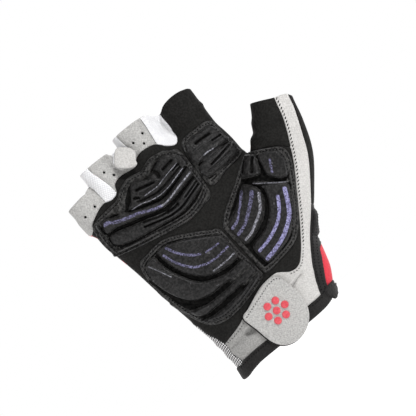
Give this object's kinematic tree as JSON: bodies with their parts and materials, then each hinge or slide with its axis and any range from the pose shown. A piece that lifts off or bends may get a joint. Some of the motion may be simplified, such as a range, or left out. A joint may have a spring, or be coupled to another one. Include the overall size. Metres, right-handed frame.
{
  "type": "cycling glove",
  "caption": "Half-finger padded cycling glove in its worn shape, with a hollow hand form, sewn panels, gel palm cushions, a wrist strap and a bound cuff.",
  "frame": {"origin": "centre of the wrist opening, where the hand goes in", "axes": "+Z along the fingers, -Y out of the palm, +X towards the thumb"},
  "size_m": [0.1345, 0.0455, 0.1471],
  "materials": {
    "black_leather": "fine-grained matt synthetic leather",
    "black_tape": "woven binding tape",
    "grey_suede": "synthetic suede",
    "pale_suede": "synthetic suede",
    "white_mesh": "fine stretch mesh",
    "grey_mesh": "ribbed stretch knit",
    "red_cloth": "stretch cloth",
    "red_rubber": "satin",
    "gel": "moulded synthetic leather over gel"
  },
  "bodies": {
    "root": {"palm_panel": "black_leather", "thumb_stall": "black_leather", "thumb_back": "black_leather", "thumb_strip": "pale_suede", "wrist_band": "grey_suede", "little_stall": "grey_suede", "ring_stall": "grey_suede", "middle_stall": "grey_suede", "gusset_ring_little": "white_mesh", "gusset_middle_ring": "white_mesh", "gusset_index_middle": "white_mesh", "web_tab": "grey_suede", "side_mesh": "grey_mesh", "back_panel": "red_cloth", "side_binding": "black_tape", "cuff_binding": "black_tape", "closure_strap": "grey_suede", "grip_dot_1": "red_rubber", "grip_dot_2": "red_rubber", "grip_dot_3": "red_rubber", "grip_dot_4": "red_rubber", "grip_dot_5": "red_rubber", "grip_dot_6": "red_rubber", "grip_dot_7": "red_rubber", "finger_pad_patch": "black_leather", "finger_pad_cushion_upper": "gel", "finger_pad_cushion_wave": "gel", "finger_pad_cushion_lower": "gel", "index_pad_patch": "black_leather", "index_pad_cushion_upper": "gel", "index_pad_cushion_lower": "gel", "thenar_pad_patch": "black_leather", "thenar_pad_cushion_upper_left": "gel", "thenar_pad_cushion_upper_right": "gel", "thenar_pad_cushion_inner": "gel", "thenar_pad_cushion_outer": "gel", "heel_pad_patch": "black_leather", "heel_pad_cushion_almond": "gel", "heel_pad_cushion_arc": "gel", "heel_pad_cushion_ridge": "gel", "heel_pad_cushion_edge": "gel"}
  },
  "joints": []
}
